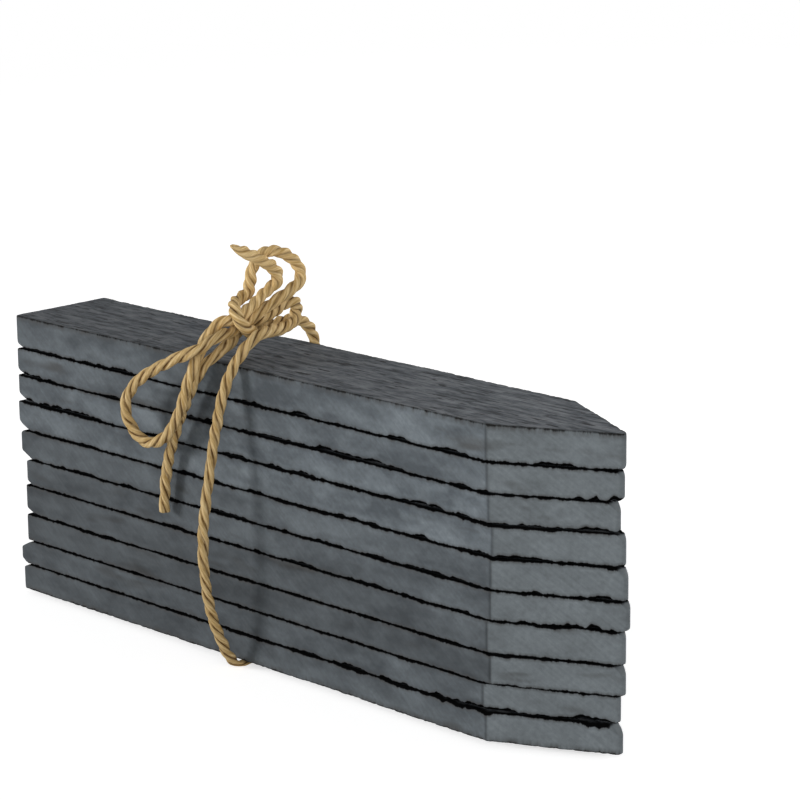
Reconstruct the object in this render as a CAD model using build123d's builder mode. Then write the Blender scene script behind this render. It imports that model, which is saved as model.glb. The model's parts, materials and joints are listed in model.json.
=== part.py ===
"""A bundle of slate plant label stakes, stacked flat and tied together with one length of twine.

Millimetres. X runs along the stakes towards their points, Y from the front of the bundle to its back
and Z up. The origin is the middle of the twine's pressed underside, where the bundle rests.
"""
import os
from math import dist, radians, tan

from build123d import *

# Stakes
stake_width = 22.0
body_length = 125.0
point_length = 22.0
slate_thickness = 5.2
tip_radius = 0.8
shoulder_radius = 0.6
butt_corner = 0.5
arris = 0.3
stack_gap = 0.3
butt_to_twine = 62.5

# Each split stake as it was sawn, from the top of the stack down: how much thicker it is than the slate's
# thickness, then how far its butt, its shoulders and its tip lie from their nominal places
stake_cuts = [
    (1.1, -0.1, 0.2, 0.2),
    (-0.1, -0.2, 0.4, -0.1),
    (-0.3, -0.2, 0.8, -1.0),
    (0.2, -0.5, 1.6, 0.2),
    (0.2, -0.1, 1.1, 0.8),
    (-0.2, 1.2, 1.0, 1.3),
    (0.4, 0.8, 0.2, 0.4),
    (-0.1, 0.7, 0.9, 0.4),
    (-0.5, -1.4, -0.8, -0.6),
    (0.0, -0.9, -0.1, -0.1),
]

# Twine
twine_diameter = 1.9
twine_sides = 12
pressed_height = 1.0
seat_clearance = 0.1
edge_clearance = 0.3
arc_share = 0.45
sample_step = 0.4
near_strand = 4 * twine_diameter
press_length = 4 * twine_diameter

# The middle of the strand that is pressed flat under the stack
under = pressed_height / 2

# The twine's route, one stretch after another, from the front tail's cut end to the back tail's
twine_route = {
    "twine_front_tail": [
        (-17.3, -13.0, 26.0), (-16.4, -13.1, 33.7), (-13.3, -13.5, 41.1), (-9.3, -14.1, 48.0),
        (-5.6, -13.5, 54.9), (-3.4, -11.8, 57.6), (-3.0, -8.8, 59.1),
    ],
    "twine_half_knot": [
        (-3.8, -6.0, 60.7), (-3.7, -4.2, 62.7), (-2.0, -2.3, 62.9), (-1.2, 0.2, 63.8),
        (-0.7, 2.5, 65.4), (0.2, 4.8, 65.7), (-0.9, 6.0, 64.1), (-0.1, 5.1, 62.0),
        (0.9, 1.8, 61.3), (2.6, -4.7, 61.8), (3.2, -7.8, 61.5),
    ],
    "twine_band": [
        (2.8, -11.2, 58.8), (1.9, -14.1, 53.6), (1.4, -16.1, 45.7), (1.2, -18.2, 35.6),
        (0.9, -19.2, 28.8), (0.7, -19.3, 22.0), (0.8, -18.8, 16.3), (1.0, -17.9, 11.4),
        (1.2, -16.3, 6.9), (1.3, -14.6, 3.1), (1.0, -12.2, 0.6), (0.7, -8.0, under),
        (-0.7, 8.0, under), (-1.0, 12.3, 0.6), (-1.2, 13.8, 3.6), (-1.4, 14.0, 10.1),
        (-1.8, 14.1, 20.1), (-2.2, 14.0, 32.1), (-2.6, 13.8, 42.9), (-2.8, 13.5, 51.3),
    ],
    "twine_wrap": [
        (-3.6, 12.9, 56.8), (-3.1, 11.0, 59.8), (-3.2, 8.2, 61.5), (-2.7, 2.3, 61.4),
        (-2.9, -1.9, 60.4), (-2.0, -4.1, 60.6), (-0.1, -5.3, 61.1), (0.7, -7.1, 62.2),
        (1.3, -8.9, 63.3), (0.6, -9.8, 65.2), (-0.9, -9.0, 66.6), (-2.5, -7.4, 66.8),
        (-3.4, -5.4, 67.1),
    ],
    "twine_back_loop": [
        (-3.4, -3.2, 67.9), (-3.1, -3.0, 70.1), (-2.5, -3.1, 72.2), (-1.9, -2.5, 74.1),
        (-1.3, -0.7, 75.4), (-0.7, 1.7, 75.2), (-0.3, 4.0, 74.0), (0.2, 5.7, 72.3),
        (0.8, 6.1, 70.1), (1.0, 4.1, 68.3), (-0.2, -1.7, 65.5),
    ],
    "twine_front_loop": [
        (-1.6, -5.6, 62.9), (-2.3, -8.4, 61.6), (-1.2, -11.2, 61.8), (-1.2, -14.0, 61.5),
        (-1.9, -16.1, 59.8), (-4.6, -17.5, 58.7), (-11.1, -17.9, 55.6), (-18.5, -17.5, 51.7),
        (-22.0, -17.1, 48.0), (-22.7, -16.9, 44.8), (-21.6, -16.4, 42.0), (-19.4, -16.2, 40.1),
        (-16.3, -16.0, 39.9), (-12.4, -16.1, 41.5), (-8.0, -16.1, 47.4), (-5.1, -16.2, 54.6),
        (-4.4, -13.0, 60.7),
    ],
    "twine_back_tail": [
        (-3.3, -10.5, 63.7), (-1.4, -8.5, 64.1), (-0.5, -6.3, 65.3), (-0.6, -2.0, 68.1),
        (0.2, 0.8, 69.7), (0.6, 0.0, 72.3), (1.0, -3.8, 74.5), (0.9, -11.1, 78.2),
    ],
}


def bend_radius(before, corner, after):
    """Largest arc that both runs at a corner of the route leave room for."""
    run_in = corner - before
    run_out = after - corner
    turn = radians(run_in.get_angle(run_out))
    return arc_share * min(run_in.length, run_out.length) / tan(turn / 2)


os.makedirs("parts", exist_ok=True)

# Stakes, from the bottom of the stack up
half_width = stake_width / 2
underside = pressed_height + seat_clearance
for number in range(len(stake_cuts), 0, -1):
    extra, butt_shift, shoulder_shift, tip_shift = stake_cuts[number - 1]
    thickness = slate_thickness + extra
    butt_x = butt_shift - butt_to_twine
    shoulder_x = body_length + shoulder_shift - butt_to_twine
    tip_x = body_length + point_length + tip_shift - butt_to_twine
    with BuildPart() as stake:
        with BuildSketch(Plane.XY.offset(underside)) as outline:
            with BuildLine():
                Polyline(
                    (butt_x, -half_width),
                    (shoulder_x, -half_width),
                    (tip_x, 0),
                    (shoulder_x, half_width),
                    (butt_x, half_width),
                    close=True,
                )
            make_face()
            chamfer(outline.vertices().group_by(Axis.X)[0], butt_corner)
            fillet(outline.vertices().group_by(Axis.X)[-1], tip_radius)
            fillet(outline.vertices().filter_by_position(Axis.X, shoulder_x - arris, shoulder_x + arris),
                   shoulder_radius)
        extrude(amount=thickness)
        chamfer(stake.edges().filter_by(Axis.Z, reverse=True), arris)
    stake.part.label = f"stake_{number:02d}"
    export_step(stake.part, f"parts/stake_{number:02d}.step")
    underside += thickness + stack_gap

# Twine, cut into its stretches halfway along the run between two of them
route = [Vector(*point) for points in twine_route.values() for point in points]
radii = [bend_radius(*route[i - 1:i + 2]) for i in range(1, len(route) - 1)]
starts = [0]
for points in twine_route.values():
    starts.append(starts[-1] + len(points))

strand_points = []
twine_length = 0.0
for stretch, name in enumerate(twine_route):
    first, last = starts[stretch], starts[stretch + 1]
    stations = route[first:last]
    bends = radii[max(first - 1, 0):last - 1]
    if first > 0:
        stations = [(route[first - 1] + route[first]) / 2] + stations
    if last < len(route):
        stations = stations + [(route[last - 1] + route[last]) / 2]
    with BuildPart() as strand:
        with BuildLine() as line:
            FilletPolyline(*stations, radius=bends)
        path = line.wire()
        with BuildSketch(Plane(origin=path @ 0, z_dir=path % 0)) as section:
            RegularPolygon(twine_diameter / 2, twine_sides)
        sweep()
        round_volume = strand.part.volume
        if name == "twine_band":
            with BuildSketch(Plane.XY.offset(pressed_height)):
                Rectangle(press_length, stake_width + 2 * edge_clearance)
            extrude(amount=twine_diameter, mode=Mode.SUBTRACT)
            split(bisect_by=Plane.XY, keep=Keep.TOP)
    strand.part.label = name
    export_step(strand.part, f"parts/{name}.step")
    drawn_volume = section.sketch.area * path.length
    print(f"{name}: {path.length:.1f} mm, tightest bend {min(bends):.2f} mm,"
          f" volume {round_volume / drawn_volume:.4f} of section times length")
    samples = int(path.length / sample_step)
    for k in range(samples):
        place = path @ (k / samples)
        strand_points.append((twine_length + path.length * k / samples, tuple(place)))
    twine_length += path.length

least_gap = min(
    dist(here, there)
    for i, (along, here) in enumerate(strand_points)
    for further, there in strand_points[i + 1:]
    if further - along > near_strand
)
print(f"twine length {twine_length:.1f} mm, least gap between strands {least_gap - twine_diameter:.2f} mm")
print(f"bend radii {[round(radius, 1) for radius in radii]}")
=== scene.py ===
"""Dressed model of a bundle of slate plant label stakes, stacked flat and tied with one length of twine.

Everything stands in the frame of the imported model, in metres: X along the stakes towards their
points, Y from the bundle's front to its back, Z up from the surface that it lies on. Relief, wear
and the twine's route are written in millimetres, and MM turns them into metres.
"""
import json
import logging
from dataclasses import dataclass, field
from enum import Enum
from math import cos, pi, radians, sin

import bpy
import numpy as np
from mathutils import Matrix, Vector


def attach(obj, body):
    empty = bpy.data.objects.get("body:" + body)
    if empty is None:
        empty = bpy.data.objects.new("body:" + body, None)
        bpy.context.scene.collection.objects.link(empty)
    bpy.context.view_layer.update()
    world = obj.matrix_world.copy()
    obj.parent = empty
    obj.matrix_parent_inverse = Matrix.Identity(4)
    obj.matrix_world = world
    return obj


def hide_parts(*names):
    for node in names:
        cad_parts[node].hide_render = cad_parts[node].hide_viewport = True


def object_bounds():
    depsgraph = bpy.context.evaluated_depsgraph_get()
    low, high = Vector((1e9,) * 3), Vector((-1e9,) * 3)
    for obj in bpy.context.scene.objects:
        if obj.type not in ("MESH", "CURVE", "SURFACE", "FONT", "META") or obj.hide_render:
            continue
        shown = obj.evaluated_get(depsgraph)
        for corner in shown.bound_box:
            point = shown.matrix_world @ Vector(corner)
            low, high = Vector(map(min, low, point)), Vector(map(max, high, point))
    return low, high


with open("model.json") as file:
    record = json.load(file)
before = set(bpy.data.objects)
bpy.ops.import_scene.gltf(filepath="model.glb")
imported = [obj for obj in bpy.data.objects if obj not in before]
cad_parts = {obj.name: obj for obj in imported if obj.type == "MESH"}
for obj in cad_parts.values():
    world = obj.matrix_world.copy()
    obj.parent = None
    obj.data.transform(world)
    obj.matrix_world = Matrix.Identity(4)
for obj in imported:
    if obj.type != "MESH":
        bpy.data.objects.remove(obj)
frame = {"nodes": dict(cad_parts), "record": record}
cad_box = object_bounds()

MM = 0.001
Array = np.ndarray
Colour = tuple[float, float, float]
Socket = bpy.types.NodeSocket
Value = Socket | Colour | float
WHITE = (1.0, 1.0, 1.0)
LOG = logging.getLogger("slate_bundle")
STAKE_COUNT = 10


class Slot(Enum):
    """Material slots of the record."""

    SLATE = "slate"
    TWINE = "twine"


class Face(Enum):
    """The two split faces of a stake, each with its place in the pairs that describe them."""

    TOP = 0
    BOTTOM = 1


@dataclass(frozen=True)
class Noise:
    """Smooth random field over a plane, from a seeded lattice of random heights.

    Attributes:
        seed: Number that fixes the lattice.
        cells: Lattice cells along each side, after which the field repeats.
    """

    seed: int
    cells: int = 256

    def plain(self, u: Array, v: Array) -> Array:
        """One octave: lattice heights blended by a quintic step, so that slopes join smoothly.

        Args:
            u: First coordinate, in lattice cells.
            v: Second coordinate, in lattice cells.

        Returns:
            Heights from -1 to 1, shaped as u and v are together.
        """
        lattice = np.random.default_rng(self.seed).uniform(-1.0, 1.0, (self.cells, self.cells))
        u, v = np.broadcast_arrays(u, v)
        column, row = np.floor(u).astype(int), np.floor(v).astype(int)
        across, along = (w ** 3 * (w * (6 * w - 15) + 10) for w in (u - column, v - row))
        left, right = column % self.cells, (column + 1) % self.cells
        near, far = row % self.cells, (row + 1) % self.cells
        front = lattice[left, near] * (1 - across) + lattice[right, near] * across
        back = lattice[left, far] * (1 - across) + lattice[right, far] * across
        return front * (1 - along) + back * along

    def layered(self, u: Array, v: Array, octaves: int = 4, gain: float = 0.5) -> Array:
        """Octaves of the field added up, each twice as fine and gain times as high as the last.

        Args:
            u: First coordinate, in cells of the coarsest octave.
            v: Second coordinate, in cells of the coarsest octave.
            octaves: How many octaves are added.
            gain: Height of an octave over that of the one before it.

        Returns:
            Heights from about -1 to 1.
        """
        share = gain ** np.arange(octaves)
        fields = (Noise(self.seed + 17 * k).plain(u * 2 ** k, v * 2 ** k) for k in range(octaves))
        return np.sum([height * part for height, part in zip(fields, share)], axis=0) / share.sum()


def smooth_step(value: Array, low: float, high: float) -> Array:
    """Cubic step from 0 at low to 1 at high."""
    t = np.clip((value - low) / (high - low), 0.0, 1.0)
    return t * t * (3 - 2 * t)


def mesh_piece(name: str, points: Array, quads: Array, layers: dict[str, Array],
               uv: Array | None = None) -> bpy.types.Object:
    """Makes a smooth-shaded mesh object at the origin from whole arrays.

    Args:
        name: Name of the piece.
        points: Vertices in metres, one row each.
        quads: Four vertex numbers for each face.
        layers: Named values, one for each vertex, that the finish reads.
        uv: Texture places, one for each corner of each face, or None.

    Returns:
        The object, linked to the scene.
    """
    mesh = bpy.data.meshes.new(name)
    mesh.vertices.add(len(points))
    mesh.vertices.foreach_set("co", np.ascontiguousarray(points, np.float32).ravel())
    mesh.loops.add(quads.size)
    mesh.loops.foreach_set("vertex_index", np.ascontiguousarray(quads, np.int32).ravel())
    mesh.polygons.add(len(quads))
    mesh.polygons.foreach_set("loop_start", np.arange(0, quads.size, quads.shape[1], dtype=np.int32))
    for layer, values in layers.items():
        attribute = mesh.attributes.new(layer, "FLOAT", "POINT")
        attribute.data.foreach_set("value", np.ascontiguousarray(values, np.float32).ravel())
    if uv is not None:
        places = mesh.uv_layers.new(name="UVMap")
        places.data.foreach_set("uv", np.ascontiguousarray(uv, np.float32).ravel())
    mesh.update(calc_edges=True)
    mesh.validate()
    mesh.shade_smooth()
    piece = bpy.data.objects.new(name, mesh)
    bpy.context.scene.collection.objects.link(piece)
    return piece


class Graph:
    """Node tree of a material or of the world, with short calls that add nodes and link them."""

    def __init__(self, owner: bpy.types.Material | bpy.types.World) -> None:
        """Empties the owner's node tree.

        Args:
            owner: Material or world that the tree belongs to.
        """
        owner.use_nodes = True
        self.owner = owner
        self.tree = owner.node_tree
        self.tree.nodes.clear()

    def node(self, kind: str, **settings: object) -> bpy.types.Node:
        """Adds a node and sets its own properties.

        Args:
            kind: Type of the node.
            **settings: Properties of the node and their values.

        Returns:
            The node.
        """
        made = self.tree.nodes.new(kind)
        for key, value in settings.items():
            setattr(made, key, value)
        return made

    def put(self, socket: Socket, value: Value) -> None:
        """Links a socket's value in, or sets a constant on the socket itself.

        Args:
            socket: Socket that takes the value.
            value: Another node's socket, a colour or a number.
        """
        if isinstance(value, Socket):
            self.tree.links.new(value, socket)
        elif isinstance(value, tuple) and socket.type == "RGBA":
            socket.default_value = (*value, 1.0)
        else:
            socket.default_value = value

    def place(self, source: str = "Object") -> Socket:
        """Object or UV places of the surface."""
        return self.node("ShaderNodeTexCoord").outputs[source]

    def noise(self, place: Socket, scale: tuple[float, float, float], detail: float = 3.0,
              roughness: float = 0.55, degrees: tuple[float, float, float] = (0.0, 0.0, 0.0)) -> Socket:
        """Random field, about 0.5 in the middle, over places that are turned and then stretched.

        Args:
            place: Places on the surface.
            scale: Features to a unit along each axis after the turn.
            detail: Finer octaves that are added.
            roughness: Height of an octave over that of the one before it.
            degrees: Turn about each axis.

        Returns:
            The field's values.
        """
        turn = self.node("ShaderNodeMapping", vector_type="POINT")
        self.put(turn.inputs["Vector"], place)
        turn.inputs["Rotation"].default_value = [radians(angle) for angle in degrees]
        stretch = self.node("ShaderNodeMapping", vector_type="POINT")
        self.put(stretch.inputs["Vector"], turn.outputs["Vector"])
        stretch.inputs["Scale"].default_value = scale
        made = self.node("ShaderNodeTexNoise")
        self.put(made.inputs["Vector"], stretch.outputs["Vector"])
        self.put(made.inputs["Scale"], 1.0)
        self.put(made.inputs["Detail"], detail)
        self.put(made.inputs["Roughness"], roughness)
        return made.outputs["Fac"]

    def span(self, value: Socket, low: float, high: float, start: float = 0.0, end: float = 1.0) -> Socket:
        """Value taken from one range to another, held at its ends.

        Args:
            value: Value to take over.
            low: Value that gives start.
            high: Value that gives end.
            start: Result at and before low.
            end: Result at and past high.

        Returns:
            The value in its new range.
        """
        made = self.node("ShaderNodeMapRange", clamp=True)
        for socket, number in zip(made.inputs[:5], (value, low, high, start, end)):
            self.put(socket, number)
        return made.outputs["Result"]

    def combine(self, operation: str, first: Value, second: Value) -> Socket:
        """One arithmetic step.

        Args:
            operation: Name of the step.
            first: First number.
            second: Second number.

        Returns:
            The step's result.
        """
        made = self.node("ShaderNodeMath", operation=operation)
        self.put(made.inputs[0], first)
        self.put(made.inputs[1], second)
        return made.outputs[0]

    def product(self, first: Socket, *others: Socket) -> Socket:
        """Product of two or more values.

        Args:
            first: First value.
            *others: Values that it is multiplied by in turn.

        Returns:
            The product.
        """
        for other in others:
            first = self.combine("MULTIPLY", first, other)
        return first

    def blend(self, factor: Value, low: Value, high: Value, mode: str = "MIX") -> Socket:
        """Colour from low to high as factor goes from 0 to 1.

        Args:
            factor: Share of high.
            low: First colour.
            high: Second colour.
            mode: How the two are put together.

        Returns:
            The blended colour.
        """
        made = self.node("ShaderNodeMix", data_type="RGBA", blend_type=mode)
        self.put(made.inputs[0], factor)
        self.put(made.inputs[6], low)
        self.put(made.inputs[7], high)
        return made.outputs[2]

    def layer(self, name: str) -> Socket:
        """Value that the mesh holds under that name."""
        return self.node("ShaderNodeAttribute", attribute_name=name).outputs["Fac"]

    def bump(self, height: Socket, depth: float, strength: Value, under: Socket | None = None) -> Socket:
        """Normals of a height field.

        Args:
            height: The field.
            depth: Metres from its low to its high.
            strength: Share of the relief that shows.
            under: Normals that it lies over, or None for the mesh's own.

        Returns:
            The normals.
        """
        made = self.node("ShaderNodeBump")
        self.put(made.inputs["Strength"], strength)
        self.put(made.inputs["Distance"], depth)
        self.put(made.inputs["Height"], height)
        if under is not None:
            self.put(made.inputs["Normal"], under)
        return made.outputs["Normal"]

    def seen(self) -> Socket:
        """Factor of 1 for what the camera sees directly, in gloss or through glass.

        Returns:
            The factor.
        """
        path = self.node("ShaderNodeLightPath")
        found = path.outputs["Is Camera Ray"]
        for name in ("Is Glossy Ray", "Is Transmission Ray"):
            found = self.combine("MAXIMUM", found, path.outputs[name])
        return found

    def close(self, shader: Socket, kind: str = "ShaderNodeOutputMaterial") -> None:
        """Links the last shader to an output of that kind."""
        self.put(self.node(kind).inputs["Surface"], shader)

    def surface(self, **values: Value) -> bpy.types.Material:
        """Closes the tree with a principled shader whose sockets take these values.

        Args:
            **values: Socket names, with underscores for spaces, and what goes in.

        Returns:
            The finished material.
        """
        shader = self.node("ShaderNodeBsdfPrincipled")
        for key, value in values.items():
            self.put(shader.inputs[key.replace("_", " ")], value)
        self.close(shader.outputs["BSDF"])
        return self.owner


@dataclass(frozen=True)
class SlateFinish:
    """Matt blue-grey slate: mottled sawn sides, dark streaked split faces, and black painted shade on
    chipped edges and in the gaps between stakes.

    Attributes:
        deep: Colour of the sides' darker patches.
        pale: Colour of their paler patches.
        fresh: Colour of the bevels at the point.
        split: Colour of the split faces.
        streak: Colour of the paler streaks on them.
        pit: Colour of their dark streaks and pits.
        edge_shade: Black of the painted shade on chipped edges and in the gaps behind them.
        dark_grey: Colour of the marks on the sides and of the darker band along their edges.
    """

    deep: Colour = (0.048, 0.057, 0.065)
    pale: Colour = (0.130, 0.150, 0.165)
    fresh: Colour = (0.124, 0.141, 0.151)
    split: Colour = (0.084, 0.093, 0.104)
    streak: Colour = (0.180, 0.190, 0.202)
    pit: Colour = (0.018, 0.019, 0.021)
    edge_shade: Colour = (0.003, 0.003, 0.003)
    dark_grey: Colour = (0.036, 0.035, 0.033)

    def side(self, g: Graph, place: Socket) -> Socket:
        """Sawn sides: long clouds and smaller ones over them, paler bevels and a few dark marks.

        Args:
            g: Node tree of the slate.
            place: Object places.

        Returns:
            Colour of the sides.
        """
        broad = g.noise(place, (38.0, 60.0, 190.0), 2.0)
        cloudy = g.noise(place, (150.0, 150.0, 260.0), 3.0, 0.6)
        sawn = g.blend(g.span(g.combine("ADD", broad, cloudy), 0.76, 1.26), self.deep, self.pale)
        bevel = g.blend(1.0, self.fresh, g.span(cloudy, 0.3, 0.7, 0.86, 1.14), "MULTIPLY")
        marks = g.span(g.noise(place, (55.0, 55.0, 260.0), 2.0), 0.62, 0.76, 0.0, 0.7)
        return g.blend(marks, g.blend(g.layer("bevel"), sawn, bevel), self.dark_grey)

    def face(self, g: Graph, place: Socket, grain: Socket) -> Socket:
        """Split faces: pale and dark streaks where the grain is high and low, and dark pits.

        Args:
            g: Node tree of the slate.
            place: Object places.
            grain: Random field drawn out along the stakes.

        Returns:
            Colour of the split faces.
        """
        pits = g.noise(place, (170.0, 800.0, 600.0), 3.0, 0.6)
        dashes = g.noise(place, (260.0, 1250.0, 600.0), 2.0, 0.6)
        split = g.blend(g.span(grain, 0.46, 0.66), self.split, self.streak)
        split = g.blend(g.span(dashes, 0.52, 0.70, 0.0, 0.55), split, self.streak)
        split = g.blend(g.span(grain, 0.32, 0.47, 0.65, 0.0), split, self.pit)
        split = g.blend(g.span(dashes, 0.34, 0.46, 0.6, 0.0), split, self.pit)
        return g.blend(g.span(pits, 0.34, 0.42, 0.95, 0.0), split, self.pit)

    def material(self) -> bpy.types.Material:
        """Sides and split faces by the mesh's layers, a darker band near the edges, and ragged painted
        shade along them.

        Returns:
            The slate's material.
        """
        g = Graph(bpy.data.materials.new("slate"))
        place = g.place()
        riven = g.layer("riven")
        speckle = g.noise(place, (1100.0, 1100.0, 1100.0), 3.0, 0.65)
        saw_lines = g.noise(place, (2200.0, 40.0, 110.0), 2.0, degrees=(0.0, 52.0, 0.0))
        grain = g.noise(place, (95.0, 520.0, 480.0), 5.0, 0.7)
        ragged = g.noise(place, (850.0, 850.0, 240.0), 3.0, 0.7)
        chipped = g.noise(place, (110.0, 110.0, 330.0), 2.0)
        colour = g.blend(riven, self.side(g, place), self.face(g, place, grain))
        # The tone layer holds each stake's brightness and painted light that darkens it towards the butt.
        light = g.product(
            g.span(speckle, 0.25, 0.75, 0.82, 1.18),
            g.span(saw_lines, 0.3, 0.7, 0.92, 1.08),
            g.layer("tone"),
            g.span(g.layer("crease"), 0.0, 1.0, 1.0, 0.5),
        )
        colour = g.blend(1.0, colour, light, "MULTIPLY")
        # A darker, ragged band along every edge.
        edge_dark = g.product(g.span(g.layer("rim"), 0.05, 0.65, 1.0, 0.0), g.span(ragged, 0.36, 0.62, 0.2, 1.0))
        colour = g.blend(edge_dark, colour, self.dark_grey)
        # Painted shade: a ragged black band along the edges, with the black chip slopes, stands for the
        # shade in the gaps between stakes, weaker where an edge lies open.
        shade_reach = g.product(g.span(ragged, 0.42, 0.74, 0.0, 0.17), g.span(chipped, 0.38, 0.62, 0.4, 1.3))
        ragged_shade = g.span(g.combine("SUBTRACT", g.layer("rim"), shade_reach), 0.0, 0.12, 1.0, 0.0)
        edge_shade = g.product(g.combine("MAXIMUM", ragged_shade, g.layer("chip_and_gap_shade")), g.layer("shaded"))
        colour = g.blend(edge_shade, colour, self.edge_shade)
        matt = g.combine("MAXIMUM", edge_shade, g.span(riven, 0.0, 1.0, 0.0, 0.45))
        relief = g.bump(speckle, 0.05 * MM, 0.5)
        relief = g.bump(saw_lines, 0.03 * MM, g.span(riven, 0.0, 1.0, 0.45, 0.0), relief)
        relief = g.bump(grain, 0.5 * MM, g.span(riven, 0.0, 1.0, 0.0, 0.9), relief)
        return g.surface(
            Base_Color=colour,
            Roughness=g.span(speckle, 0.3, 0.7, 0.62, 0.82),
            Specular_IOR_Level=g.span(matt, 0.0, 0.6, 0.28, 0.0),
            Normal=relief,
        )


@dataclass(frozen=True)
class TwineFinish:
    """Straw-coloured twisted twine with fine fibres, and painted shade in the grooves between its plies.

    Attributes:
        straw: Middle colour of the fibres.
        pale: Colour where fibres catch the light.
        groove_shade: Painted shade deep between the plies.
    """

    straw: Colour = (0.45, 0.285, 0.100)
    pale: Colour = (0.82, 0.620, 0.330)
    groove_shade: Colour = (0.060, 0.022, 0.003)

    def material(self) -> bpy.types.Material:
        """Fibres drawn out along each ply by the UV map, with painted shade towards the grooves.

        Returns:
            The twine's material.
        """
        g = Graph(bpy.data.materials.new("twine"))
        place = g.place("UV")
        fibres = g.noise(place, (34.0, 5.0, 1.0), 3.0, 0.6)
        patches = g.noise(place, (14.0, 1.5, 1.0), 2.0)
        colour = g.blend(g.span(fibres, 0.36, 0.62), self.straw, self.pale)
        colour = g.blend(g.span(patches, 0.35, 0.7, 0.0, 0.45), colour, self.straw)
        # Painted light: the tone layer paints the bow brighter and the strands down the front darker.
        colour = g.blend(1.0, colour, g.layer("tone"), "MULTIPLY")
        # Painted shade: the grooves between the plies are darkened by the mesh's layer.
        colour = g.blend(g.layer("groove_shade"), colour, self.groove_shade)
        return g.surface(
            Base_Color=colour,
            Roughness=g.span(fibres, 0.3, 0.7, 0.85, 0.65),
            Specular_IOR_Level=0.10,
            Normal=g.bump(fibres, 0.16 * MM, 0.8),
        )


@dataclass(frozen=True)
class Gap:
    """Chipped edges along the gap between two stakes.

    Attributes:
        depth: Depth of its chips over the usual, at the butts, by the twine and at the tips.
        upper: Share of that depth that is chipped off the upper stake.
    """

    depth: tuple[float, float, float]
    upper: float


GAPS = (
    Gap((0.6, 1.2, 1.1), 0.85),
    Gap((0.9, 1.4, 2.0), 0.80),
    Gap((1.7, 1.2, 1.8), 0.75),
    Gap((0.5, 1.4, 1.2), 0.65),
    Gap((0.9, 0.7, 1.2), 0.75),
    Gap((0.1, 0.8, 2.2), 0.70),
    Gap((1.1, 0.2, 0.7), 0.50),
    Gap((0.3, 0.2, 0.9), 0.45),
    Gap((0.1, 1.0, 3.3), 0.50),
)


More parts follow.
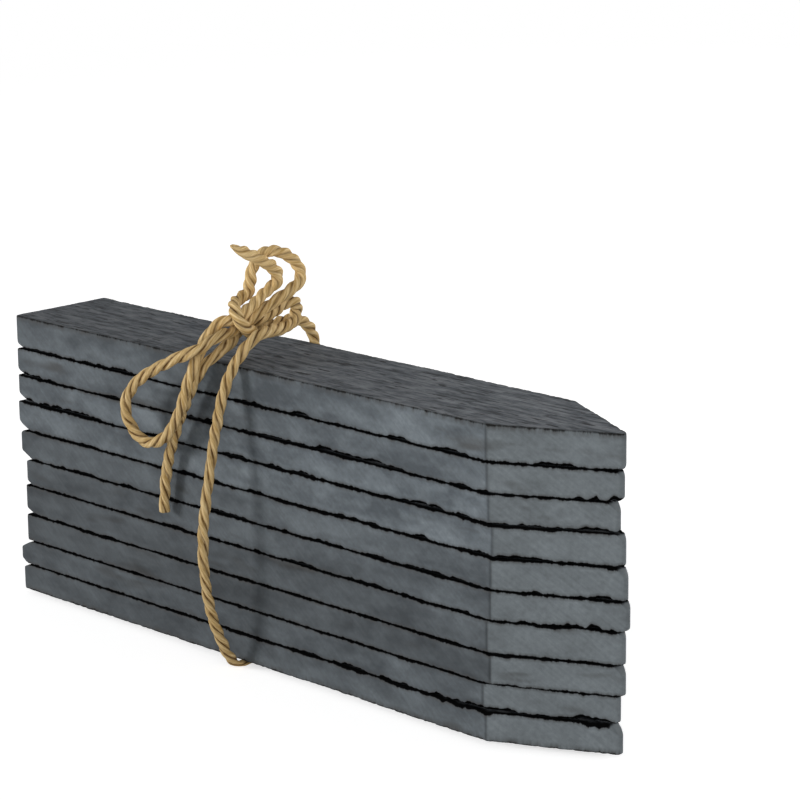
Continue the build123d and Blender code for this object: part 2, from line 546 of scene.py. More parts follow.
@dataclass
class Stake:
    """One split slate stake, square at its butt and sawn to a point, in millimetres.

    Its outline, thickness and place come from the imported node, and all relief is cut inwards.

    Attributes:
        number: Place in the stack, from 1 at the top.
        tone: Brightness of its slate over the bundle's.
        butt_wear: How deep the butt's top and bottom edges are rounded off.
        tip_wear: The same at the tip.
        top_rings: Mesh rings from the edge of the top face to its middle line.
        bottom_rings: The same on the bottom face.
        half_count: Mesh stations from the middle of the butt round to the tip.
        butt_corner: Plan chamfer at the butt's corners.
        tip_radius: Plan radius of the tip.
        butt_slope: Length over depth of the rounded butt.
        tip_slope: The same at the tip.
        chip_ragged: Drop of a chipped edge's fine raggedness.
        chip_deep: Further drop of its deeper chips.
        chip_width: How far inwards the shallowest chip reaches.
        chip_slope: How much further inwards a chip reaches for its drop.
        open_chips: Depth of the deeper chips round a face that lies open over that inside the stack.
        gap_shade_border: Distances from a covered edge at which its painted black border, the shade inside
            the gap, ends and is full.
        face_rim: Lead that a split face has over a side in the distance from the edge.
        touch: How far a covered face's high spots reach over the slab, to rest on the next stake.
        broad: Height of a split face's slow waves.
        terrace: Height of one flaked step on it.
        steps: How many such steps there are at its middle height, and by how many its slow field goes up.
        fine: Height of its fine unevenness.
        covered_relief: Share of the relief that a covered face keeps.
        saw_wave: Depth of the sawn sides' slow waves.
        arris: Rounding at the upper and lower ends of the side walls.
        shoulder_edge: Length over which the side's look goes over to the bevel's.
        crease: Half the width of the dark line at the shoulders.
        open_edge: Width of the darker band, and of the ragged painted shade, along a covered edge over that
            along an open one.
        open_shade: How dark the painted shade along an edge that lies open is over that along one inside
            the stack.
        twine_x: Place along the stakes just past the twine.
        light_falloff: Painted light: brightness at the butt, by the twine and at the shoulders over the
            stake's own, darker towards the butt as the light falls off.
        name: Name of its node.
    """

    number: int
    tone: float
    butt_wear: tuple[float, float]
    tip_wear: tuple[float, float]
    top_rings: int = 15
    bottom_rings: int = 13
    half_count: int = 700
    butt_corner: float = 0.5
    tip_radius: float = 0.8
    butt_slope: float = 2.2
    tip_slope: float = 1.05
    chip_ragged: float = 0.17
    chip_deep: float = 0.36
    chip_width: float = 0.12
    chip_slope: float = 1.5
    open_chips: float = 0.3
    gap_shade_border: tuple[float, float] = (1.9, 0.5)
    face_rim: float = 0.05
    touch: float = 0.11
    broad: float = 0.06
    terrace: float = 0.0175
    steps: tuple[float, float] = (3.0, 4.5)
    fine: float = 0.06
    covered_relief: float = 0.5
    saw_wave: float = 0.05
    arris: float = 0.07
    shoulder_edge: float = 0.25
    crease: float = 0.28
    open_edge: float = 0.55
    open_shade: float = 0.65
    twine_x: float = 14.0
    light_falloff: tuple[float, float, float] = (0.8, 1.0, 1.2)
    name: str = field(init=False)

    def __post_init__(self) -> None:
        """Reads the stake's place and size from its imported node."""
        self.name = f"stake_{self.number:02d}"
        vertices = frame["nodes"][self.name].data.vertices
        corners = np.empty(len(vertices) * 3)
        vertices.foreach_get("co", corners)
        solid = corners.reshape(-1, 3) / MM
        self.butt_x, self.tip_x = solid[:, 0].min(), solid[:, 0].max()
        self.half_width = solid[:, 1].max()
        self.heights = (solid[:, 2].max(), solid[:, 2].min())
        self.shoulder_x = solid[solid[:, 1] > self.half_width - self.arris, 0].max()

    def noise(self, use: int) -> Noise:
        """Random field of this stake for one numbered use."""
        return Noise(1000 * self.number + 101 * use)

    def outline(self) -> tuple[Array, Array]:
        """Plan outline and the line that the rings of a split face close in on.

        Half of the outline is straight runs from the middle of the butt round its corner, along the
        side and down the bevel to an arc at the tip, at even steps. The other half is its mirror image,
        and a running mean rounds the corners. The middle line's points keep the order of the outline's.

        Returns:
            The outline's points, anticlockwise, and for each the middle line's point that it runs to.
        """
        centre = self.tip_x - self.tip_radius
        reach = centre - self.shoulder_x
        bevel = np.arctan2(self.half_width, reach)
        bevel -= np.arcsin(self.tip_radius / np.hypot(self.half_width, reach))
        turn = np.linspace(bevel - pi / 2, 0.0, 9)
        run = np.array([
            (self.butt_x, 0.0),
            (self.butt_x, self.butt_corner - self.half_width),
            (self.butt_x + self.butt_corner, -self.half_width),
            (self.shoulder_x, -self.half_width),
            *np.c_[centre + self.tip_radius * np.cos(turn), self.tip_radius * np.sin(turn)],
        ])
        length = np.r_[0.0, np.cumsum(np.hypot(*np.diff(run, axis=0).T))]
        along = np.linspace(0.0, length[-1], self.half_count + 1)
        half = np.c_[np.interp(along, length, run[:, 0]), np.interp(along, length, run[:, 1])]
        loop = np.r_[half, half[-2:0:-1] * (1.0, -1.0)]
        for _ in range(2):
            loop = (np.roll(loop, 1, 0) + 2 * loop + np.roll(loop, -1, 0)) / 4
        middle = np.interp(
            along,
            (0.0, self.half_width, 3 * self.half_width, length[3], length[-1]),
            self.butt_x + np.array((
                0.4 * self.half_width,
                0.8 * self.half_width,
                2 * self.half_width,
                self.shoulder_x - self.butt_x,
                centre - self.butt_x,
            )),
        )
        inner = np.c_[np.r_[middle, middle[-2:0:-1]], np.zeros(len(loop))]
        return loop, inner

    def split_face(self, face: Face, x: Array, y: Array) -> Array:
        """How far a split face lies inside the slab: slow waves, flaked steps and fine unevenness.

        A step's edge is where a slow field, drawn out along the stake, crosses a whole number.

        Args:
            face: Which face.
            x: Places along the stake.
            y: Places across it.

        Returns:
            Depths of zero or more.
        """
        waves = 0.5 + 0.5 * self.noise(1 + 10 * face.value).layered(x / 38.0, y / 13.0, 2)
        slow = self.noise(2 + 10 * face.value).layered(x / 16.0, y / 5.0, 4, 0.55)
        rise = np.clip(self.steps[0] + self.steps[1] * slow, 0.0, None)
        step = np.floor(rise)
        flakes = step + smooth_step(rise - step, 0.78, 1.0)
        fine = 0.5 + 0.5 * self.noise(3 + 10 * face.value).layered(x / 4.0, y / 0.9, 3)
        return self.broad * waves + self.terrace * flakes + self.fine * fine

    def chips(self, face: Face, loop: Array) -> Array:
        """Drop of the chipped edge round a split face: fine raggedness, and deeper chips of random length.

        Chips are as deep as the gap beside them has them, and shallow round the faces that lie open.

        Args:
            face: Which face.
            loop: Edge in plan.

        Returns:
            Depths of zero or more, one for each point of the edge.
        """
        ragged = self.noise(4 + 10 * face.value).layered(loop[:, 0] / 0.9, loop[:, 1] / 0.9, 2, 0.7)
        deep = self.noise(5 + 10 * face.value).layered(loop[:, 0] / 6.0, loop[:, 1] / 6.0, 4, 0.7)
        share = np.full(len(loop), self.open_chips)
        if self.covered(face):
            gap = GAPS[self.number - 2 + face.value]
            own = (1 - gap.upper, gap.upper)[face.value]
            share = 2 * own * np.interp(loop[:, 0], (self.butt_x, self.twine_x, self.tip_x), gap.depth)
        fine = self.chip_ragged * np.clip(ragged + 0.1, 0.0, 1.0)
        return fine + share * self.chip_deep * smooth_step(deep, -0.25, 0.65)

    def covered(self, face: Face) -> bool:
        """Whether another stake lies against a face.

        Args:
            face: Which face.

        Returns:
            True for all faces but the stack's top and bottom.
        """
        return 0 < self.number - 1 + face.value < STAKE_COUNT

    def end_wear(self, face: Face, x: Array) -> Array:
        """Rounding of a split face towards the butt and towards the tip, by distance along the stake.

        Args:
            face: Which face.
            x: Places along the stake.

        Returns:
            Depths of zero or more.
        """
        butt, tip = self.butt_wear[face.value], self.tip_wear[face.value]
        from_butt = np.clip(1 - (x - self.butt_x) / (self.butt_slope * butt), 0.0, 1.0)
        from_tip = np.clip(1 - (self.tip_x - x) / (self.tip_slope * tip), 0.0, 1.0)
        return butt * from_butt ** 1.4 + tip * from_tip ** 1.1

    def rings(self, face: Face, loop: Array, inner: Array) -> tuple[Array, dict[str, Array]]:
        """Rings of one split face, from its edge to its middle line, closer together at the edge.

        Args:
            face: Which face.
            loop: Edge in plan.
            inner: Middle line's point for each point of the edge.

        Returns:
            Points ring by ring, and for each its layers: how much painted shade its chip slopes and a
            covered face's border get, how far it belongs to the split face, and how far it lies from the
            edge.
        """
        count = (self.top_rings, self.bottom_rings)[face.value]
        share = np.linspace(0.0, 1.0, count)[:, None] ** 2
        plan = loop[None] + share[..., None] * (inner - loop)[None]
        inward = share * np.hypot(*(inner - loop).T)[None]
        drop = self.chips(face, loop)[None]
        fall = np.clip(1 - inward / (self.chip_width + self.chip_slope * drop), 0.0, 1.0) ** 1.3
        x, y = plan[..., 0], plan[..., 1]
        wear = self.end_wear(face, x)
        relief = self.split_face(face, x, y)
        if self.covered(face):
            relief = self.covered_relief * relief - self.touch
        depth = relief + drop * fall + wear
        way = (-1, 1)[face.value]
        points = np.dstack((x, y, self.heights[face.value] + way * depth))
        # Painted shade: chip slopes are painted black, and on a covered face so is a border along the edge,
        # for the shade inside the gap.
        chip_and_gap_shade = np.clip(fall * 4.0, 0.0, 1.0) * smooth_step(drop, 0.02, 0.16)
        if self.covered(face):
            chip_and_gap_shade = np.maximum(chip_and_gap_shade, smooth_step(inward, *self.gap_shade_border))
        rounded = smooth_step(wear, 0.04, 0.3)
        split = smooth_step(inward, 0.0, 0.12) * (1 - rounded)
        rim = inward + self.face_rim + rounded
        return points, {"chip_and_gap_shade": chip_and_gap_shade * (1 - rounded), "riven": split, "rim": rim}

    def walls(self, upper: Array, lower: Array, inner: Array) -> Array:
        """Sawn walls between the two edges: straight rows with slow waves and rounded ends, cut inwards.

        Args:
            upper: Edge of the top face.
            lower: Edge of the bottom face.
            inner: Middle line's point for each point of an edge.

        Returns:
            Points row by row, from the top down.
        """
        t = np.array((0.012, 0.04, 0.10, 0.20, 0.34, 0.5, 0.66, 0.80, 0.90, 0.96, 0.988))[:, None]
        rows = upper[None] + t[..., None] * (lower - upper)[None]
        wave = 0.5 + 0.5 * self.noise(30).layered(rows[..., 0] / 11.0 + rows[..., 1], rows[..., 2] / 6.0, 3)
        inset = self.saw_wave * wave * np.sin(pi * t) ** 0.3 + self.arris * (np.abs(2 * t - 1) ** 12 - 1)
        way = inner - upper[:, :2]
        way = way / np.maximum(np.hypot(*way.T)[:, None], 1e-6)
        rows[..., :2] += inset[..., None] * way[None]
        return rows

    def build(self) -> bpy.types.Object:
        """Joins both split faces and the walls into one closed mesh.

        Rows run from the top face's middle line out to its edge, down the wall, and in to the bottom
        face's middle line. The two halves of a middle line share their vertices.

        Returns:
            The stake's piece.
        """
        loop, inner = self.outline()
        to_inside = inner - loop
        edge = loop + self.arris * to_inside / np.hypot(*to_inside.T)[:, None]
        top, over = self.rings(Face.TOP, edge, inner)
        bottom, below = self.rings(Face.BOTTOM, edge, inner)
        wall = self.walls(top[0], bottom[0], inner)
        points = np.concatenate((top[::-1], wall, bottom))
        between, shaded = self.wall_layers(top, wall, bottom, over, below)
        layers = {name: np.concatenate((over[name][::-1], between[name], below[name])) for name in between}
        layers["shaded"] = shaded
        x = points[..., 0]
        side = 1 - layers["riven"]
        layers["bevel"] = smooth_step(x, self.shoulder_x, self.shoulder_x + self.shoulder_edge)
        layers["crease"] = np.exp(-((x - self.shoulder_x) / self.crease) ** 2) * side
        # Painted light: each stake is painted darker towards the butt, for the falloff of the light.
        tone = self.tone * np.interp(x, (self.butt_x, self.twine_x, self.shoulder_x), self.light_falloff)
        layers["tone"] = tone + (1 - tone) * layers["bevel"] * side
        keep, quads = self.stitch(*points.shape[:2])
        chosen = {layer: values[keep] for layer, values in layers.items()}
        return mesh_piece(f"slate_{self.name}", points[keep] * MM, quads, chosen)

    def wall_layers(self, top: Array, wall: Array, bottom: Array, over: dict[str, Array],
                    below: dict[str, Array]) -> tuple[dict[str, Array], Array]:
        """Layers of the walls, by the distance down from the top edge and up from the bottom one.

        Args:
            top: Points of the top face, from its edge inwards.
            wall: Points of the walls, from the top down.
            bottom: Points of the bottom face, from its edge inwards.
            over: Layers of the top face.
            below: Layers of the bottom face.

        Returns:
            The walls' layers, and for the whole stake how dark its painted edge shade is.
        """
        plain = np.zeros(wall.shape[:2])
        up, down = top[:1, :, 2] - wall[..., 2], wall[..., 2] - bottom[:1, :, 2]
        pace_up, pace_down = (1.0 if self.covered(face) else self.open_edge for face in Face)
        rim = np.minimum(pace_up * up + over["rim"][0], pace_down * down + below["rim"][0]) - self.face_rim
        # Painted shade: the black along the edges is full inside the stack and weaker where an edge lies
        # open.
        shade_up, shade_down = (1.0 if self.covered(face) else self.open_shade for face in Face)
        shaded = np.concatenate((
            np.full(top.shape[:2], shade_up),
            np.where(up < down, shade_up, shade_down),
            np.full(bottom.shape[:2], shade_down),
        ))
        return {"chip_and_gap_shade": plain, "riven": plain, "rim": rim}, shaded

    def stitch(self, rows: int, count: int) -> tuple[Array, Array]:
        """Faces of a stake's rows, whose first and last are middle lines that fold onto themselves.

        Args:
            rows: How many rows the stake has.
            count: How many points a row has.

        Returns:
            Which of the rows' points are vertices, and four vertex numbers for each face.
        """
        station = np.arange(count)
        folded = np.minimum(station, count - station)
        keep = np.ones((rows, count), bool)
        keep[[0, -1], self.half_count + 1:] = False
        number = np.cumsum(keep).reshape(rows, count) - 1
        number[[0, -1]] = number[[0, -1]][:, folded]
        after = np.roll(number, -1, 1)
        return keep, np.stack((number[:-1], number[1:], after[1:], after[:-1]), -1).reshape(-1, 4)

    def dress(self, finish: bpy.types.Material) -> bpy.types.Object:
        """Builds the stake, gives it its finish and lets it ride on its own body.

        Args:
            finish: The slate's material.

        Returns:
            The stake's piece.
        """
        piece = self.build()
        piece.data.materials.append(finish)
        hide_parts(self.name)
        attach(piece, self.name)
        return piece


@dataclass(frozen=True)
class Stretch:
    """One stretch of the twine's route, in millimetres.

    Attributes:
        lay: Length of one turn of the plies.
        fullness: Size of the plies as they lie there over that of the twine drawn tight.
        tone: Painted light: brightness of the stretch over the twine's, higher in the bow on top and lower
            on the strands down the front.
        grooves: How dark the painted shade in its grooves is over the twine's.
        points: Points of its line.
    """

    lay: float
    fullness: float
    tone: float
    grooves: float
    points: tuple[tuple[float, float, float], ...]


ROUTE = (
    # front tail
    Stretch(11.0, 1.10, 0.85, 1.0, (
        (-17.3, -13.0, 26.0), (-16.4, -13.1, 33.7), (-13.3, -13.5, 41.1), (-9.3, -14.1, 48.0),
        (-5.6, -13.5, 54.9), (-3.4, -11.8, 57.6), (-3.0, -8.8, 59.1),
    )),
    # half knot
    Stretch(7.2, 1.26, 1.0, 1.0, (
        (-3.8, -6.0, 60.7), (-3.7, -4.2, 62.7), (-2.0, -2.3, 62.9), (-1.2, 0.2, 63.8), (-0.7, 2.5, 65.4),
        (0.2, 4.8, 65.7), (-0.9, 6.0, 64.1), (-0.1, 5.1, 62.0), (0.9, 1.8, 61.3), (2.6, -4.7, 61.8),
        (3.2, -7.8, 61.5),
    )),
    # band round the stack
    Stretch(10.8, 1.06, 0.80, 1.0, (
        (2.8, -11.2, 58.8), (1.9, -14.1, 53.6), (1.4, -16.1, 45.7), (1.2, -18.2, 35.6), (0.9, -19.2, 28.8),
        (0.7, -19.3, 22.0), (0.8, -18.8, 16.3), (1.0, -17.9, 11.4), (1.2, -16.3, 6.9), (1.3, -14.6, 3.1),
        (1.0, -12.2, 0.6), (0.7, -8.0, 0.5), (-0.7, 8.0, 0.5), (-1.0, 12.3, 0.6), (-1.2, 13.8, 3.6),
        (-1.4, 14.0, 10.1), (-1.8, 14.1, 20.1), (-2.2, 14.0, 32.1), (-2.6, 13.8, 42.9), (-2.8, 13.5, 51.3),
    )),
    # wrap
    Stretch(7.4, 1.26, 1.0, 1.0, (
        (-3.6, 12.9, 56.8), (-3.1, 11.0, 59.8), (-3.2, 8.2, 61.5), (-2.7, 2.3, 61.4), (-2.9, -1.9, 60.4),
        (-2.0, -4.1, 60.6), (-0.1, -5.3, 61.1), (0.7, -7.1, 62.2), (1.3, -8.9, 63.3), (0.6, -9.8, 65.2),
        (-0.9, -9.0, 66.6), (-2.5, -7.4, 66.8), (-3.4, -5.4, 67.1),
    )),
    # back loop
    Stretch(6.8, 1.20, 1.12, 0.55, (
        (-3.4, -3.2, 67.9), (-3.1, -3.0, 70.1), (-2.5, -3.1, 72.2), (-1.9, -2.5, 74.1), (-1.3, -0.7, 75.4),
        (-0.7, 1.7, 75.2), (-0.3, 4.0, 74.0), (0.2, 5.7, 72.3), (0.8, 6.1, 70.1), (1.0, 4.1, 68.3),
        (-0.2, -1.7, 65.5),
    )),
    # front loop
    Stretch(11.0, 1.14, 0.85, 1.0, (
        (-1.6, -5.6, 62.9), (-2.3, -8.4, 61.6), (-1.2, -11.2, 61.8), (-1.2, -14.0, 61.5),
        (-1.9, -16.1, 59.8), (-4.6, -17.5, 58.7), (-11.1, -17.9, 55.6), (-18.5, -17.5, 51.7),
        (-22.0, -17.1, 48.0), (-22.7, -16.9, 44.8), (-21.6, -16.4, 42.0), (-19.4, -16.2, 40.1),
        (-16.3, -16.0, 39.9), (-12.4, -16.1, 41.5), (-8.0, -16.1, 47.4), (-5.1, -16.2, 54.6),
        (-4.4, -13.0, 60.7),
    )),
    # back tail
    Stretch(6.8, 1.22, 1.12, 0.55, (
        (-3.3, -10.5, 63.7), (-1.4, -8.5, 64.1), (-0.5, -6.3, 65.3), (-0.6, -2.0, 68.1), (0.2, 0.8, 69.7),
        (0.6, 0.0, 72.3), (1.0, -3.8, 74.5), (0.9, -11.1, 78.2),
    )),
)


@dataclass
class TwineTie:
    """The twine: one three-ply length, tied round the stack in a bow, in millimetres.

    Attributes:
        diameter: Over the plies.
        length: From cut end to cut end; not used.
        ply_radius: Radius of a ply's rounded back.
        step: Spacing of the mesh's rings.
        lobe_points: Mesh points round one ply.
        pressed: Height of the twine where the stack presses it flat.
        press_heights: Heights of its line at which the pressing starts and is full.
        spread: How much wider it gets where it is pressed.
        floor_gap: Least height over the surface that the bundle lies on.
        pace: How much the plies' turn quickens and slows along the twine.
        swell: How much a ply swells and shrinks.
        bumps: Height of the small unevenness over the radius.
        flare: How much the front tail's end opens.
        flare_length: Length over which it does.
        taper: Length over which the back tail's end narrows.
        taper_end: Size of that end over the twine's.
        closing: Length over which both ends close.
        groove_edge: Radius over the largest at which the painted shade between the plies starts.
        uv_length: Length along the twine to one unit of its UV map.
        route: Stretches of its line, from the front tail's cut end to the back tail's.
    """

    diameter: float = 1.9
    length: float = 393.0
    ply_radius: float = 0.54
    step: float = 0.2
    lobe_points: int = 14
    pressed: float = 1.0
    press_heights: tuple[float, float] = (2.2, 0.6)
    spread: float = 0.3
    floor_gap: float = 0.01
    pace: float = 0.4
    swell: float = 0.16
    bumps: float = 0.05
    flare: float = 0.16
    flare_length: float = 0.9
    taper: float = 4.0
    taper_end: float = 0.35
    closing: float = 0.4
    groove_edge: float = 0.92
    uv_length: float = 100.0
    route: tuple[Stretch, ...] = ROUTE

    def line(self) -> tuple[Array, Array]:
        """Even steps along the smooth spline that has the route's points as its control points.

        Returns:
            Points of the line, and for each the number of the route's point that it lies at.
        """
        controls = np.concatenate([stretch.points for stretch in self.route])
        curve = bpy.data.curves.new("twine_line", "CURVE")
        curve.dimensions = "3D"
        curve.resolution_u = 16
        spline = curve.splines.new("NURBS")
        spline.points.add(len(controls) - 1)
        spline.points.foreach_set("co", np.c_[controls, np.ones(len(controls))].astype(np.float32).ravel())
        spline.order_u = 3
        spline.use_endpoint_u = True
        holder = bpy.data.objects.new("twine_line", curve)
        mesh = bpy.data.meshes.new_from_object(holder)
        points = np.empty(len(mesh.vertices) * 3)
        mesh.vertices.foreach_get("co", points)
        points = points.reshape(-1, 3)
        bpy.data.objects.remove(holder)
        bpy.data.curves.remove(curve)
        bpy.data.meshes.remove(mesh)
        along = np.r_[0.0, np.cumsum(np.linalg.norm(np.diff(points, axis=0), axis=1))]
        even = np.linspace(0.0, along[-1], int(along[-1] / self.step) + 1)
        station = np.interp(even, along, np.linspace(0, len(controls) - 1, len(points)))
        return np.stack([np.interp(even, along, points[:, axis]) for axis in range(3)], 1), station

    def along_route(self, values: list[float], station: Array) -> Array:
        """Values of the stretches spread along the line by a running mean over five route points.

        Args:
            values: One value for each stretch.
            station: Number of the route's point at each point of the line.

        Returns:
            One value for each point of the line.
        """
        each = np.repeat(values, [len(stretch.points) for stretch in self.route])
        smooth = np.convolve(np.pad(each, 2, "edge"), np.full(5, 0.2), "valid")
        return np.interp(station, np.arange(len(each)), smooth)

    @staticmethod
    def untwisted(line: Array) -> tuple[Array, Array]:
        """Frames along a line that don't spin about it.

        Any normals are taken first. The angle by which each misses the one before it, carried over by
        the smallest turn, is added up along the line and taken off.

        Args:
            line: Points along the line.

        Returns:
            Normals and binormals.
        """
        tangent = np.gradient(line, axis=0)
        tangent /= np.linalg.norm(tangent, axis=1, keepdims=True)
        axis = np.eye(3)[np.argmin(np.abs(tangent), axis=1)]
        normal = np.cross(tangent, axis)
        normal /= np.linalg.norm(normal, axis=1, keepdims=True)
        before, after = tangent[:-1], tangent[1:]
        hinge = np.cross(before, after)
        swing = 1 / (1 + np.sum(before * after, axis=1, keepdims=True))
        bent = np.cross(hinge, normal[:-1])
        carried = normal[:-1] + bent + swing * np.cross(hinge, bent)
        binormal = np.cross(tangent, normal)
        missed = np.arctan2(np.sum(carried * binormal[1:], 1), np.sum(carried * normal[1:], 1))
        angle = np.r_[0.0, np.cumsum(missed)][:, None]
        turned = np.cos(angle) * normal + np.sin(angle) * binormal
        return turned, np.cross(tangent, turned)

    def section(self) -> tuple[Array, Array]:
        """Section over three plies, whose backs are arcs that stand off the middle and meet in grooves.

        Returns:
            Angles about the middle, and the radius at each.
        """
        stand_off = self.diameter / 2 - self.ply_radius
        half = pi / 3
        local = np.linspace(-half, half, self.lobe_points, endpoint=False)
        radius = stand_off * np.cos(local)
        radius += np.sqrt(self.ply_radius ** 2 - (stand_off * np.sin(local)) ** 2)
        angle = (local[None] + 2 * half * np.arange(3)[:, None]).ravel()
        return angle, np.tile(radius, 3)

    def plies(self, line: Array, station: Array) -> tuple[Array, dict[str, Array]]:
        """Carries the three-ply section along the line, turning left-handed by each stretch's lay.

        A point stands off the line by the section's radius times the stretch's fullness, its ply's
        swelling, a small unevenness, the flare and taper of the ends, and their closing. Where the line
        runs under the stack the section is pressed flat and spreads.

        Args:
            line: Points of the line.
            station: Number of the route's point at each of them.

        Returns:
            Points ring by ring, and for each its layers.
        """
        # Painted light: each stretch's tone paints the bow on top brighter and the strands down the front
        # darker, as the light falls more from above; its grooves value sets how dark the painted groove
        # shade is.
        lay, fullness, tone, grooves = (
            self.along_route([getattr(stretch, name) for stretch in self.route], station)[:, None]
            for name in ("lay", "fullness", "tone", "grooves")
        )
        normal, binormal = self.untwisted(line)
        count = len(line)
        along = np.arange(count)[:, None] * self.step
        pace = 1 + self.pace * Noise(71).layered(along / 6.0, np.zeros((count, 1)), 2)
        turn = -2 * pi * np.cumsum(pace / lay, axis=0) * self.step
        angle, radius = self.section()
        theta = (turn + angle)[..., None]
        ply = np.repeat(np.arange(3), self.lobe_points)
        swell = 1 + self.swell * Noise(72).layered(along / 3.4, ply[None] * 7.3, 3)
        uneven = 1 + self.bumps * Noise(73).layered(along / 0.9, angle[None] * 2.4, 3)
        back = along[::-1]
        flare = 1 + self.flare * np.exp(-along / self.flare_length)
        taper = self.taper_end + (1 - self.taper_end) * smooth_step(back, 0.0, self.taper)
        closing = np.sqrt(np.clip(np.minimum(along, back) / self.closing, 0.0, 1.0))
        reach = (radius * fullness * swell * uneven * flare * taper * closing)[..., None]
        offset = reach * (np.cos(theta) * normal[:, None] + np.sin(theta) * binormal[:, None])
        under = smooth_step(line[:, 2:], *self.press_heights)
        offset[..., 0] *= 1 + self.spread * under
        offset[..., 2] *= 1 - under * (1 - self.pressed / (self.diameter * fullness))
        surface = line[:, None] + offset
        highest = np.where(under > 0.99, self.pressed, np.inf)
        surface[..., 2] = np.clip(surface[..., 2], self.floor_gap, highest)
        # Painted shade in the grooves between the plies, broken up along them.
        groove_shade = smooth_step(radius / radius.max(), self.groove_edge, radius.min() / radius.max())
        darker = np.clip(0.95 + 0.9 * Noise(74).layered(along / 1.3, ply[None] * 5.1, 2), 0.3, 1.0)
        layers = {"groove_shade": grooves * groove_shade * darker, "tone": np.broadcast_to(tone, darker.shape)}
        return surface, layers

    def build(self) -> tuple[bpy.types.Object, Array]:
        """Joins the rings round the line into one mesh, with a UV map of length along and plies round.

        Returns:
            The twine's piece, and the points of its line in metres.
        """
        line, station = self.line()
        surface, layers = self.plies(line, station)
        count, sides = surface.shape[:2]
        number = np.arange(count * sides).reshape(count, sides)
        after = np.roll(number, -1, 1)
        quads = np.stack((number[:-1], after[:-1], after[1:], number[1:]), -1).reshape(-1, 4)
        along = np.arange(count) * self.step / self.uv_length
        around = np.arange(sides + 1) / self.lobe_points
        places = np.stack(np.meshgrid(along, around, indexing="ij"), -1)
        corners = (places[:-1, :-1], places[:-1, 1:], places[1:, 1:], places[1:, :-1])
        uv = np.stack(corners, 2).reshape(-1, 2)
        piece = mesh_piece("twine_bow", surface.reshape(-1, 3) * MM, quads, layers, uv)
        return piece, line * MM

    def dress(self, finish: bpy.types.Material) -> bpy.types.Object:
        """Args:
            finish: The twine's material.

        Returns:
            The twine's piece.
        """
        piece, line = self.build()
        piece.data.materials.append(finish)
        stretches = frame["record"]["behaviour"]["bodies"]["twine_tie"]
        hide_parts(*stretches)
        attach(piece, "twine_tie")
        return piece


@dataclass(frozen=True)
class Lamp:
    """A soft square lamp that faces the bundle.

    Attributes:
        name: What it is.
        azimuth: Way that it stands, in degrees, from -Y towards +X.
        elevation: Height over the horizon, in degrees.
        side: Length of its side, in metres.
        level: Brightness of a white surface that faces it.
        distance: From the middle of the bundle, in metres.
    """

    name: str
    azimuth: float
    elevation: float
    side: float
    level: float
    distance: float = 1.2

    def build(self, middle: Vector) -> None:
        """Adds the lamp, with the power that gives its level at the bundle.

        Args:
            middle: Middle of the bundle.
        """
        data = bpy.data.lights.new(self.name, "AREA")
        data.size = self.side
        data.energy = self.level * (pi * self.distance) ** 2
        lamp = bpy.data.objects.new(self.name, data)
        back = direction(self.azimuth, self.elevation)
        lamp.location = middle + back * self.distance
        lamp.rotation_euler = (-back).to_track_quat("-Z", "Y").to_euler()
        bpy.context.scene.collection.objects.link(lamp)


def direction(azimuth: float, elevation: float) -> Vector:
    """Unit vector towards an azimuth, from -Y towards +X, and an elevation, both in degrees."""
    a, e = radians(azimuth), radians(elevation)
    return Vector((sin(a) * cos(e), -cos(a) * cos(e), sin(e)))


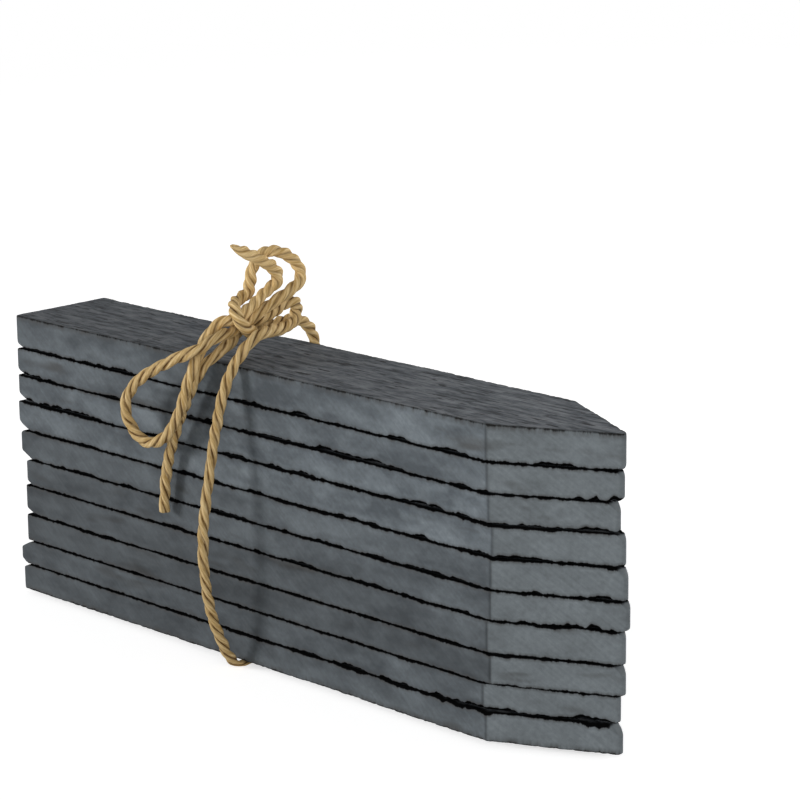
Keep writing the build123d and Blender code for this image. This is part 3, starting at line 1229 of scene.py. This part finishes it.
@dataclass
class Studio:
    """White floor and surround, soft lamps, and the camera at the photograph's angle.

    Attributes:
        ambient: Brightness of the surround as a light.
        floor_colour: Colour of the floor as the lamps light it.
        floor_unlit: Share of that light which isn't seen near the bundle.
        floor_glow: Plain white that is seen there besides, which brings the lit floor up to white.
        floor_fade: Distances between which the floor goes over to plain white, in metres.
        floor_side: Side of the floor, in metres.
        floor_drop: How far the floor lies under the bundle, in millimetres.
        azimuth: Camera's azimuth, in degrees.
        elevation: Camera's elevation, in degrees.
        roll: Camera's roll, in degrees.
        lens: Focal length, in millimetres.
        sensor: Width of the sensor, in millimetres.
        eye: Camera's place, in millimetres.
        lamps: The lamps.
    """

    ambient: float = 0.20
    floor_colour: Colour = (0.92, 0.92, 0.92)
    floor_unlit: float = 0.12
    floor_glow: float = 0.64
    floor_fade: tuple[float, float] = (0.3, 0.9)
    floor_side: float = 6.0
    floor_drop: float = 0.02
    azimuth: float = 45.39
    elevation: float = 13.90
    roll: float = -0.68
    lens: float = 134.64
    sensor: float = 36.0
    eye: tuple[float, float, float] = (391.2, -354.5, 178.2)
    lamps: tuple[Lamp, ...] = (
        Lamp("key", -36.0, 14.0, 0.32, 0.60),
        Lamp("fill", 58.0, 16.0, 0.7, 0.45),
        Lamp("back", 172.0, 16.0, 0.8, 0.56),
    )

    def surround(self) -> None:
        """World that is white to look at and lights the bundle evenly."""
        g = Graph(bpy.data.worlds.new("surround"))
        background = g.node("ShaderNodeBackground")
        g.put(background.inputs["Color"], WHITE)
        g.put(background.inputs["Strength"], g.span(g.seen(), 0.0, 1.0, self.ambient, 1.0))
        g.close(background.outputs["Background"], "ShaderNodeOutputWorld")
        bpy.context.scene.world = g.owner

    def floor(self) -> None:
        """Pale floor that keeps the bundle's shadow and is otherwise white to look at."""
        half = self.floor_side / 2
        flat = half * np.array([(-1, -1), (1, -1), (1, 1), (-1, 1)])
        corners = np.column_stack((flat, np.full(4, -self.floor_drop * MM)))
        piece = mesh_piece("floor", corners, np.array([[0, 1, 2, 3]]), {})
        g = Graph(bpy.data.materials.new("floor"))
        away = g.node("ShaderNodeVectorMath", operation="LENGTH")
        g.put(away.inputs[0], g.place())
        seen = g.seen()
        unlit, glow = (
            g.product(seen, g.span(away.outputs["Value"], *self.floor_fade, near, 1.0))
            for near in (self.floor_unlit, self.floor_glow)
        )
        lit = g.node("ShaderNodeBsdfDiffuse")
        g.put(lit.inputs["Color"], g.blend(unlit, self.floor_colour, (0.0, 0.0, 0.0)))
        white = g.node("ShaderNodeEmission")
        g.put(white.inputs["Color"], WHITE)
        g.put(white.inputs["Strength"], glow)
        both = g.node("ShaderNodeAddShader")
        g.put(both.inputs[0], lit.outputs[0])
        g.put(both.inputs[1], white.outputs[0])
        g.close(both.outputs[0])
        piece.data.materials.append(g.owner)

    def camera(self) -> None:
        """Camera fitted to the photograph: its axes from azimuth, elevation and roll."""
        back = direction(self.azimuth, self.elevation)
        level = Vector((0.0, 0.0, 1.0)).cross(back).normalized()
        upright = back.cross(level)
        r = radians(self.roll)
        right = cos(r) * level + sin(r) * upright
        up = cos(r) * upright - sin(r) * level
        data = bpy.data.cameras.new("camera")
        data.sensor_width = self.sensor
        data.lens = self.lens
        camera = bpy.data.objects.new("camera", data)
        turn = Matrix((right, up, back)).transposed().to_4x4()
        camera.matrix_world = Matrix.Translation(Vector(self.eye) * MM) @ turn
        bpy.context.scene.collection.objects.link(camera)
        bpy.context.scene.camera = camera

    def build(self) -> None:
        """Sets up the surround, floor, lamps and camera."""
        bpy.context.scene.view_settings.view_transform = "Standard"
        self.surround()
        self.floor()
        self.camera()
        middle = (cad_box[0] + cad_box[1]) / 2
        for lamp in self.lamps:
            lamp.build(middle)


STAKES = (
    Stake(1, 1.0, (0.2, 1.1), (0.15, 0.9), top_rings=46),
    Stake(2, 1.0, (0.4, 1.1), (0.9, 0.3)),
    Stake(3, 1.15, (0.1, 1.2), (1.6, 0.15)),
    Stake(4, 1.05, (0.3, 1.9), (1.1, 0.3)),
    Stake(5, 0.75, (0.7, 1.7), (1.45, 0.3)),
    Stake(6, 0.7, (0.7, 1.2), (1.1, 0.9)),
    Stake(7, 0.6, (0.2, 1.4), (0.9, 0.5)),
    Stake(8, 0.55, (0.3, 0.1), (1.6, 0.5)),
    Stake(9, 0.7, (1.9, 1.1), (0.5, 0.6)),
    Stake(10, 0.65, (1.0, 0.4), (2.0, 0.3)),
)


def main() -> None:
    """Builds the studio, the stakes and the twine, and reports each piece."""
    logging.basicConfig(level=logging.INFO, format="%(name)s: %(message)s")
    Studio().build()
    slate = SlateFinish().material()
    for stake in STAKES:
        piece = stake.dress(slate)
        LOG.info("%s: %d faces", piece.name, len(piece.data.polygons))
    piece = TwineTie().dress(TwineFinish().material())
    LOG.info("%s: %d faces", piece.name, len(piece.data.polygons))


if __name__ == "__main__":
    main()
